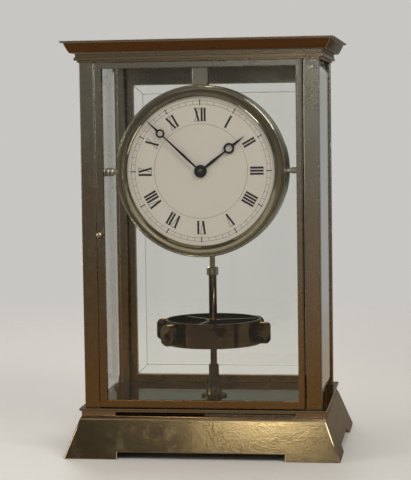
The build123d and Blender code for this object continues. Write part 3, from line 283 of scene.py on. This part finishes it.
def makeFloor():
    form = bmesh.new()
    bmesh.ops.create_circle(form, cap_ends=True, segments=floor["sides"], radius=floor["radius"])
    finish = Finish(bpy.data.materials.new("floorPaper"))
    place = finish.place()
    grain = finish.noise(place, floor["grainSize"], detail=4.0)
    tone = finish.blend(grain, shaded(floor["tone"], floor["grainShade"]), floor["tone"])
    mirrored = finish.node("ShaderNodeLightPath", output="Glossy Depth").least(1)
    tone = finish.blend(mirrored, tone, floor["mirrored"])
    distance = finish.node("ShaderNodeVectorMath", {"operation": "LENGTH"}, {0: place}, output="Value")
    gone = finish.ramp(distance, *floor["fade"])
    paper = finish.surface({"Base Color": tone, "Roughness": floor["roughness"],
                            "Specular IOR Level": floor["gloss"]})
    clear = finish.node("ShaderNodeBsdfTransparent")
    look = finish.close(finish.node("ShaderNodeMixShader", {}, {0: gone, 1: paper, 2: clear}))
    standing("floor", form, look)


makeFloor()


lamps = {
    # place and size in metres, watts and tone
    "key": ((0.80, -0.80, 1.05), (0.6, 0.6), 10.0, (1, 0.98, 0.95)),
    "fill": ((-1.15, -0.6, 0.55), (0.5, 0.7), 5.0, (1, 0.96, 0.90)),
    "warm": ((-0.13, -1.35, 0.98), (0.10, 0.24), 1.0, (1, 0.87, 0.60)),
    "line": ((0.1, -1.25, -0.04), (0.02, 0.45), 0.22, (1, 0.98, 0.95)),
    "upperRight": ((-0.01, -1.25, 0.36), (0.12, 0.20), 0.14, (0.96, 0.98, 1)),
    "top": ((-0.1, 0.0, 1.25), (0.8, 0.6), 2.5, (0.96, 0.98, 1)),
    "leftStrip": ((-1.15, 0.2, 0.2), (0.16, 0.8), 1.3, (0.94, 0.97, 1)),
    "rightStrip": ((1.15, -0.15, 0.2), (0.22, 0.8), 0.8, (1, 0.97, 0.93)),
    "rear": ((-0.35, 1.15, 0.75), (0.7, 0.5), 5.0, (1, 0.99, 0.97)),
}
aim = Vector((0, 0, 0.14))
# lamps that light the metal and don't show in the panes
outOfGlass = ("line", "upperRight", "leftStrip", "rightStrip")


def hangLamps():
    for name, (place, size, watts, tone) in lamps.items():
        data = bpy.data.lights.new(name, "AREA")
        data.shape = "RECTANGLE"
        data.size, data.size_y = size
        data.energy = watts
        data.color = tone
        data.cycles.use_multiple_importance_sampling = name not in outOfGlass
        holder = bpy.data.objects.new(name, data)
        holder.location = place
        holder.rotation_euler = (aim - Vector(place)).to_track_quat("-Z", "Y").to_euler()
        holder.visible_camera = False
        holder.visible_transmission = False
        bpy.context.scene.collection.objects.link(holder)


hangLamps()
print("studio and lamps set")


# Finishes

caseNickel = {
    "low": (0.26, 0.148, 0.06),  # brass showing where the plating has worn, near the foot
    "high": (0.28, 0.27, 0.225),
    "from": 0.03,  # the heights between which low passes into high
    "to": 0.235,
    "patch": 26.0,  # patches in a metre
    "patchAmount": 0.3,
    "tarnish": (0.12, 0.085, 0.05),
    "tarnishAmount": 0.14,
    "roughness": 0.25,
    "smear": 0.04,
    "grain": (900.0, 900.0, 60.0),  # rubbed up and down
    "grainDepth": 0.000001,
    "rim": (0.55, 0.52, 0.46),
    "elsewhere": None,  # the tone of faces that look neither forwards nor backwards, where it differs
}
headNickel = dict(caseNickel, high=(0.25, 0.19, 0.115))
stepNickel = dict(caseNickel, low=(0.33, 0.22, 0.125), high=(0.33, 0.22, 0.125), roughness=0.2)
# rubbed edges, partly real wear and partly painted highlight: a much lighter tone on the eased edges that
# stands for the glint of light along them
workedEdge = dict(caseNickel, low=(0.44, 0.32, 0.19), high=(0.52, 0.50, 0.44), tarnishAmount=0.0,
                  roughness=0.4, smear=0.0, grainDepth=0.0)
plinthBrass = dict(caseNickel, low=(0.37, 0.31, 0.205), high=(0.39, 0.33, 0.22), tarnishAmount=0.35,
                   roughness=0.15, smear=0.08, grain=(800.0, 800.0, 800.0), grainDepth=0.00005)
# nickel whose slope carries a painted reflection at the front and back
corniceBronze = {
    **caseNickel,
    "low": (0.20, 0.17, 0.125),  # the flat band under the slope
    "high": (0.18, 0.085, 0.034),  # painted reflection: the slope at the front and back, dark brown as if it mirrored a brown room
    "from": 0.2620,
    "to": 0.2627,
    "patchAmount": 0.1,
    "roughness": 0.27,
    "grain": (60.0, 900.0, 900.0),
    "rim": (0.35, 0.29, 0.22),
    # the sides of the cornice, which show no painted reflection
    "elsewhere": (0.20, 0.18, 0.14),
}
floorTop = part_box("base_plate")[1].z
mirrorNickel = {
    **caseNickel,
    "low": (0.24, 0.165, 0.09),  # the rim of the base plate
    "high": (0.34, 0.33, 0.27),  # its polished top
    "from": floorTop - 0.6 * mm,
    "to": floorTop - 0.2 * mm,
    "patchAmount": 0.1,
    "tarnishAmount": 0.2,
    "roughness": 0.04,
    "smear": 0.03,
    "grainDepth": 0.000001,
    "rim": (0.5, 0.49, 0.43),
}
drumNickel = dict(caseNickel, low=(0.52, 0.48, 0.38), high=(0.52, 0.50, 0.42), tarnishAmount=0.3,
                  roughness=0.13, smear=0.1, grain=(300.0, 40.0, 300.0), grainDepth=0.000003)
# painted reflection: low is a light golden tone that makes the bezel lighter towards its bottom, as if it
# mirrored what lies below in front; high is its dark nickel
bezelNickel = dict(drumNickel, low=(0.68, 0.56, 0.38), high=(0.36, 0.32, 0.24), roughness=0.07, smear=0.03,
                   tarnishAmount=0.15, grainDepth=0.000001)
darkBronze = dict(caseNickel, low=(0.12, 0.075, 0.035), high=(0.13, 0.085, 0.04), tarnishAmount=0.4,
                  roughness=0.06, smear=0.04, grain=(400.0, 400.0, 400.0), grainDepth=0.000001)
# painted highlight: a bright gold tone on the eased ridges of the balance weights, standing for light
# glinting along them
ridgeGold = dict(caseNickel, low=(1.0, 0.78, 0.38), high=(1.0, 0.78, 0.38), tarnishAmount=0.0, roughness=0.5,
                 smear=0.05, grainDepth=0.0)
tubeNickel = dict(caseNickel, low=(0.50, 0.41, 0.29), high=(0.52, 0.44, 0.33), tarnishAmount=0.3,
                  roughness=0.09, smear=0.04, grainDepth=0.000001)
# painted shade: a much darker copy of the tube's nickel for the lock post and plunger, standing for the dark
# room they mirror
postBronze = dict(tubeNickel, low=(0.10, 0.07, 0.038), high=(0.11, 0.075, 0.042), rim=(0.35, 0.3, 0.24))
screwSteel = dict(caseNickel, low=(0.36, 0.35, 0.33), high=(0.38, 0.37, 0.35), tarnishAmount=0.3,
                  roughness=0.25, smear=0.1, grain=(500.0, 500.0, 500.0), grainDepth=0.000006)
wheelBrass = dict(caseNickel, low=(0.62, 0.44, 0.18), high=(0.64, 0.47, 0.20), tarnishAmount=0.3,
                  roughness=0.26, smear=0.12, grain=(240.0, 900.0, 240.0), grainDepth=0.00001)
motorBrass = dict(wheelBrass, low=(0.50, 0.36, 0.16), high=(0.52, 0.38, 0.17), roughness=0.3)
blueSteel = dict(caseNickel, low=(0.018, 0.022, 0.036), high=(0.022, 0.028, 0.046), tarnishAmount=0.1,
                 tarnish=(0.01, 0.01, 0.012), roughness=0.28, smear=0.08, grain=(500.0, 500.0, 500.0),
                 grainDepth=0.000004)

# what all the metals share
metalPattern = {
    "patchDetail": (5.0, 0.6),
    "plating": ((0.1, 0), (0.9, 1)),
    "facing": ((0.1, 0), (0.3, 1)),
    "spotSize": 4,  # spots across a patch
    "spotDetail": (6.0, 0.65),
    "spots": ((0.5, 0), (0.75, 1)),
    "spotRough": 0.1,
    "grainRough": 0.06,
    "grainStrength": 0.5,
}


def metalFinish(name, look):
    finish = Finish(bpy.data.materials.new(name))
    pattern = metalPattern
    place = finish.place()
    patches = finish.noise(place, look["patch"], *pattern["patchDetail"])
    lift = (finish.along(place, 2) - look["from"]) / (look["to"] - look["from"])
    plating = finish.ramp(lift + (patches - 0.5) * look["patchAmount"], *pattern["plating"])
    tone = finish.blend(plating, look["low"], look["high"])
    # painted reflection: faces that look forwards or backwards keep the tone that stands for the room they
    # mirror, and the rest take the tone given for elsewhere
    if look["elsewhere"]:
        ahead = finish.along(finish.node("ShaderNodeTexCoord", output="Normal"), 1)
        tone = finish.blend(finish.ramp(ahead * ahead, *pattern["facing"]), look["elsewhere"], tone)
    spotNoise = finish.noise(place, look["patch"] * pattern["spotSize"], *pattern["spotDetail"])
    spots = finish.ramp(spotNoise, *pattern["spots"])
    tone = finish.blend(spots * look["tarnishAmount"], tone, look["tarnish"])
    grain = finish.noise(finish.scaled(place, look["grain"]), scale=1.0, detail=3.0)
    worn = (patches - 0.5) * look["smear"] + grain * pattern["grainRough"] + spots * pattern["spotRough"]
    rough = worn + (look["roughness"] - pattern["grainRough"] / 2)
    normal = finish.bump(grain, pattern["grainStrength"], look["grainDepth"])
    return finish.close(finish.surface({"Base Color": tone, "Metallic": 1.0, "Roughness": rough,
                                        "Normal": normal, "Specular Tint": look["rim"]}))


# a thin pane bends the view little, so its gloss comes from the coat and not from a high index
clearGlass = {
    "tone": (0.965, 0.98, 0.965),
    "index": 1.08,
    "coat": 0.9,
    "coatRoughness": 0.0,
    "roughness": 0.0,
    "body": 1.0,
    "dust": 0.03,
    "dustSize": 18.0,
    "dustShade": 0.8,
}
groundGlass = dict(clearGlass, tone=(0.96, 0.98, 0.97), roughness=0.5, body=0.25)
vesselGlass = dict(clearGlass, tone=(0.88, 0.94, 0.90), index=1.3, roughness=0.02, dust=0.05)


def glassFinish(name, look):
    finish = Finish(bpy.data.materials.new(name))
    cloud = finish.noise(finish.place(), look["dustSize"], detail=4.0)
    tone = finish.blend(cloud * look["dust"], look["tone"], shaded(look["tone"], look["dustShade"]))
    pane = finish.surface({"Base Color": tone, "Roughness": look["roughness"], "IOR": look["index"],
                           "Transmission Weight": look["body"], "Coat Weight": look["coat"],
                           "Coat Roughness": look["coatRoughness"]})
    through = finish.node("ShaderNodeBsdfTransparent", {}, {"Color": look["tone"]})
    shadow, mirrored, scattered = (
        finish.node("ShaderNodeLightPath", output=name)
        for name in ("Is Shadow Ray", "Glossy Depth", "Diffuse Depth"))
    indirect = shadow.most(mirrored).most(scattered).least(1)  # light reaches the inside without caustics
    return finish.close(finish.node("ShaderNodeMixShader", {}, {0: indirect, 1: pane, 2: through}))


enamel = {
    "tone": (0.61, 0.545, 0.50),
    "shade": (0.57, 0.51, 0.46),
    "cloudSize": 30.0,
    "speck": (0.35, 0.3, 0.24),
    "speckSize": 900.0,
    "specks": ((0.74, 0), (0.8, 1)),
    "speckAmount": 0.25,
    "waveSize": 120.0,
    "waveStrength": 0.15,
    "waveDepth": 0.03 * mm,
    "roughness": 0.3,
    "coat": 0.35,
    "coatRoughness": 0.08,
}


def enamelFinish():
    finish = Finish(bpy.data.materials.new("dialEnamel"))
    place = finish.place()
    cloud = finish.noise(place, enamel["cloudSize"], detail=4.0)
    speck = finish.ramp(finish.noise(place, enamel["speckSize"], detail=2.0), *enamel["specks"])
    tone = finish.blend(cloud, enamel["tone"], enamel["shade"])
    tone = finish.blend(speck * enamel["speckAmount"], tone, enamel["speck"])
    wave = finish.noise(place, enamel["waveSize"], detail=2.0)
    normal = finish.bump(wave, enamel["waveStrength"], enamel["waveDepth"])
    return finish.close(finish.surface({"Base Color": tone, "Roughness": enamel["roughness"],
                                        "Coat Weight": enamel["coat"],
                                        "Coat Roughness": enamel["coatRoughness"], "Normal": normal}))


ink = {
    "tone": (0.012, 0.012, 0.014),
    "worn": (0.06, 0.055, 0.05),
    "wearSize": 700.0,
    "wear": ((0.45, 0), (0.8, 1)),
    "wearRough": 0.2,
    "roughness": 0.35,
    "gloss": 0.2,
}


def inkFinish():
    finish = Finish(bpy.data.materials.new("dialInk"))
    wear = finish.noise(finish.place(), ink["wearSize"], detail=3.0)
    tone = finish.blend(finish.ramp(wear, *ink["wear"]), ink["tone"], ink["worn"])
    rough = wear * ink["wearRough"] + ink["roughness"]
    return finish.close(finish.surface({"Base Color": tone, "Roughness": rough,
                                        "Specular IOR Level": ink["gloss"]}))


finishes = {
    "case": metalFinish("caseNickel", caseNickel),
    "head": metalFinish("headNickel", headNickel),
    "step": metalFinish("stepNickel", stepNickel),
    "edge": metalFinish("workedEdge", workedEdge),
    "plinth": metalFinish("plinthBrass", plinthBrass),
    "cornice": metalFinish("corniceBronze", corniceBronze),
    "mirror": metalFinish("mirrorNickel", mirrorNickel),
    "drum": metalFinish("drumNickel", drumNickel),
    "bezel": metalFinish("bezelNickel", bezelNickel),
    "bronze": metalFinish("darkBronze", darkBronze),
    "ridge": metalFinish("ridgeGold", ridgeGold),
    "tube": metalFinish("tubeNickel", tubeNickel),
    "post": metalFinish("postBronze", postBronze),
    "screw": metalFinish("screwSteel", screwSteel),
    "brass": metalFinish("wheelBrass", wheelBrass),
    "motor": metalFinish("motorBrass", motorBrass),
    "blue": metalFinish("blueSteel", blueSteel),
    "glass": glassFinish("clearGlass", clearGlass),
    "ground": glassFinish("groundGlass", groundGlass),
    "vessel": glassFinish("vesselGlass", vesselGlass),
    "enamel": enamelFinish(),
    "ink": inkFinish(),
}
print("finishes made", len(finishes))


# The solids, with eased edges and smooth curves

solids = {
    "merge": 0.002,  # millimetres
    "flat": 0.5,  # degrees
    "easeSteps": 2,
}
dressing = {
    # finish, finish of the eased edges, their width in millimetres, the angle in degrees from which an edge
    # is eased, the angle from which curved faces stay apart, or 0 for flat faces, and the nodes
    "case": ("case", "edge", 0.4, 30, 0, [
        "column_front_left", "column_front_right", "column_back_left", "column_back_right", "door_frame",
        "back_frame"]),
    "head": ("head", "edge", 0.4, 30, 0, ["head_plate"]),
    "step": ("step", "edge", 0.4, 30, 0, ["base_step"]),
    "foot": ("plinth", "edge", 0.45, 30, 0, ["plinth"]),
    "crown": ("cornice", "edge", 0.3, 30, 0, ["cornice"]),
    "floorPlate": ("mirror", "edge", 0.3, 30, 0, ["base_plate"]),
    "backPane": ("glass", "ground", 0.3, 4, 0, ["back_glass"]),
    "panes": ("glass", "glass", 0.1, 4, 0, ["door_glass", "side_glass_left", "side_glass_right"]),
    "drum": ("drum", "edge", 0, 30, 32, ["drum_shell", "hanging_strap", "door_latch", "suspension_cock"]),
    "studs": ("edge", "edge", 0, 30, 32, ["side_studs", "stud_nut_left"]),
    "knob": ("tube", "edge", 0, 30, 32, ["door_knob"]),
    "bezel": ("bezel", "edge", 0, 30, 32, ["bezel"]),
    "dial": ("enamel", "edge", 0, 30, 32, ["dial"]),
    "hands": ("blue", "edge", 0, 30, 32, ["hour_hand", "minute_hand"]),
    "pendulum": ("bronze", "ridge", 0, 30, 32, [
        "balance_ring", "balance_spider", "pendulum_foot", "hand_nut"]),
    # the eased ridges of the weights take the painted highlight
    "weights": ("bronze", "ridge", 0.3, 18, 18, ["balance_weights"]),
    "tube": ("tube", "edge", 0, 30, 32, ["pendulum_tube"]),
    "lock": ("post", "edge", 0, 30, 32, ["lock_post", "lock_plunger"]),
    "steel": ("screw", "edge", 0, 30, 32, [
        "column_screws", "strap_screws", "plate_screws", "door_pivot_pins", "barrel_arbor",
        "pallet_lever", "click", "suspension_wire", "mainspring", "plinth_closing_plate", "lock_slide"]),
    "brass": ("brass", "edge", 0, 30, 32, [
        "front_plate", "back_plate", "plate_pillars", "centre_wheel", "third_wheel", "escape_wheel",
        "minute_wheel", "hour_wheel", "barrel", "winding_wheel", "pallet_cock", "rear_plate"]),
    "motor": ("motor", "edge", 0, 30, 32, ["motor_drum", "motor_cover"]),
    "vessel": ("vessel", "edge", 0, 30, 32, ["motor_vessel"]),
}


def dress(name, finish, edgeFinish, width, easeFrom, sharpFrom):
    source = nodes[name]
    form = bmesh.new()
    form.from_mesh(source.data)
    bmesh.ops.remove_doubles(form, verts=form.verts, dist=solids["merge"] * mm)
    bmesh.ops.dissolve_limit(form, angle_limit=radians(solids["flat"]), verts=form.verts, edges=form.edges)
    looks = (finish, edgeFinish) if width else (finish,)
    piece = standing(name + "_dressed", form, *(finishes[look] for look in looks))
    if width:
        ease = piece.modifiers.new("easedEdge", "BEVEL")
        ease.width = width * mm
        ease.segments = solids["easeSteps"]
        ease.limit_method = "ANGLE"
        ease.angle_limit = radians(easeFrom)
        ease.material = 1
        ease.harden_normals = sharpFrom > 0
    if sharpFrom:
        piece.data.shade_smooth()
        piece.data.set_sharp_from_angle(angle=radians(sharpFrom))
    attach(piece, source.parent.name.split(":", 1)[1])
    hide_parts(name)


for *look, names in dressing.values():
    for name in names:
        dress(name, *look)
print("solids dressed")


# Printing on the dial

dialPrint = {
    # millimetres on the dial, measured from its centre
    "lift": 0.02,  # of the middle of the print above the enamel
    "depth": 0.04,
    "numeralMiddle": 36.5,
    "numeralLength": 8.7,
    "thick": 1.35,
    "thin": 0.3,
    "gap": 0.62,
    "serif": 0.28,
    "serifReach": 0.3,
    "vWidth": 3.6,
    "xWidth": 3.6,
    "circles": ((30.5, 0.16), (43.2, 0.17), (45.5, 0.17)),  # radius and width
    "circleSteps": 144,
    "minute": (43.2, 45.5, 0.2),  # inner end, outer end and width
    "five": (42.6, 46.2, 0.62),
    "numerals": ("XII", "I", "II", "III", "IIII", "V", "VI", "VII", "VIII", "IX", "X", "XI"),
}


def dialCentre():
    low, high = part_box("dial")
    return Vector(((low.x + high.x) / 2, low.y, (low.z + high.z) / 2))


def inkBar(form, turn, across, middle, width, length, lean=0.0):
    # a bar along the dial's radius at the angle turn, its outer end moved sideways by lean
    size = Matrix.Diagonal((width * mm, length * mm, dialPrint["depth"] * mm, 1))
    slant = Matrix(((1, lean / length, 0, 0), (0, 1, 0, 0), (0, 0, 1, 0), (0, 0, 0, 1)))
    out = Matrix.Translation((across * mm, middle * mm, dialPrint["lift"] * mm))
    face = Matrix.Translation(dialCentre()) @ Matrix.Rotation(pi / 2, 4, "X")
    place = face @ Matrix.Rotation(-turn, 4, "Z") @ out @ slant @ size
    bmesh.ops.create_cube(form, size=1, matrix=place)


def inkCircle(form, radius, width):
    corner = Matrix.Translation(dialCentre()) @ Matrix.Translation((radius * mm, -dialPrint["lift"] * mm, 0))
    size = Matrix.Diagonal((width * mm, dialPrint["depth"] * mm, 1, 1))
    made = bmesh.ops.create_grid(form, x_segments=1, y_segments=1, size=0.5, matrix=corner @ size)
    edges = list({edge for vert in made["verts"] for edge in vert.link_edges})
    faces = list({face for vert in made["verts"] for face in vert.link_faces})
    bmesh.ops.delete(form, geom=faces, context="FACES_ONLY")
    bmesh.ops.spin(form, geom=edges, cent=dialCentre(), axis=(0, 1, 0), angle=2 * pi,
                   steps=dialPrint["circleSteps"], use_merge=True)


def numeralWidth(letter):
    return {"I": dialPrint["thick"], "V": dialPrint["vWidth"], "X": dialPrint["xWidth"]}[letter]


def inkNumeral(form, turn, word):
    gap, length, middle = dialPrint["gap"], dialPrint["numeralLength"], dialPrint["numeralMiddle"]
    thick, thin, serif = dialPrint["thick"], dialPrint["thin"], dialPrint["serif"]
    total = sum(numeralWidth(letter) for letter in word) + gap * (len(word) - 1)
    at = -total / 2
    for letter in word:
        wide = numeralWidth(letter)
        centre = at + wide / 2
        if letter == "I":
            inkBar(form, turn, centre, middle, thick, length)
        if letter == "V":
            left = centre - (wide - thick) / 4 - thin / 4
            right = centre + (wide - thin) / 4 + thin / 4
            inkBar(form, turn, left, middle, thick, length, -(wide - thick) / 2)
            inkBar(form, turn, right, middle, thin, length, (wide - thin) / 2)
        if letter == "X":
            inkBar(form, turn, centre, middle, thick, length, -(wide - thick))
            inkBar(form, turn, centre, middle, thin, length, wide - thin)
        ends = (1, -1) if letter != "V" else (1,)  # no serif at the point of a V
        for end in ends:
            edge = middle + end * (length - serif) / 2
            inkBar(form, turn, centre, edge, wide + dialPrint["serifReach"], serif)
        at += wide + gap


def printDial():
    form = bmesh.new()
    for hour, word in enumerate(dialPrint["numerals"]):
        inkNumeral(form, radians(30 * hour), word)
    for minute in range(60):
        start, end, width = dialPrint["five"] if minute % 5 == 0 else dialPrint["minute"]
        inkBar(form, radians(6 * minute), 0, (start + end) / 2, width, end - start)
    for radius, width in dialPrint["circles"]:
        inkCircle(form, radius, width)
    bmesh.ops.recalc_face_normals(form, faces=form.faces)
    piece = standing("dial_print", form, finishes["ink"])
    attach(piece, "case")


printDial()
print("dial printed")


# The small round head on the right front column

columnPin = {
    # lengths in millimetres
    "place": (72.5, 250.3),
    "radius": 1.6,
    "rise": 0.55,
    "sides": (24, 12),
}


def makePin():
    form = bmesh.new()
    across, up = columnPin["place"]
    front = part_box("column_front_right")[0].y
    place = Matrix.Translation((across * mm, front, up * mm)) @ Matrix.Rotation(pi / 2, 4, "X")
    size = Matrix.Diagonal((columnPin["radius"] * mm, columnPin["radius"] * mm, columnPin["rise"] * mm, 1))
    around, over = columnPin["sides"]
    bmesh.ops.create_uvsphere(form, u_segments=around, v_segments=over, radius=1, matrix=place @ size)
    piece = standing("column_pin", form, finishes["edge"])
    piece.data.shade_smooth()
    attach(piece, "case")


makePin()
print("column pin made")
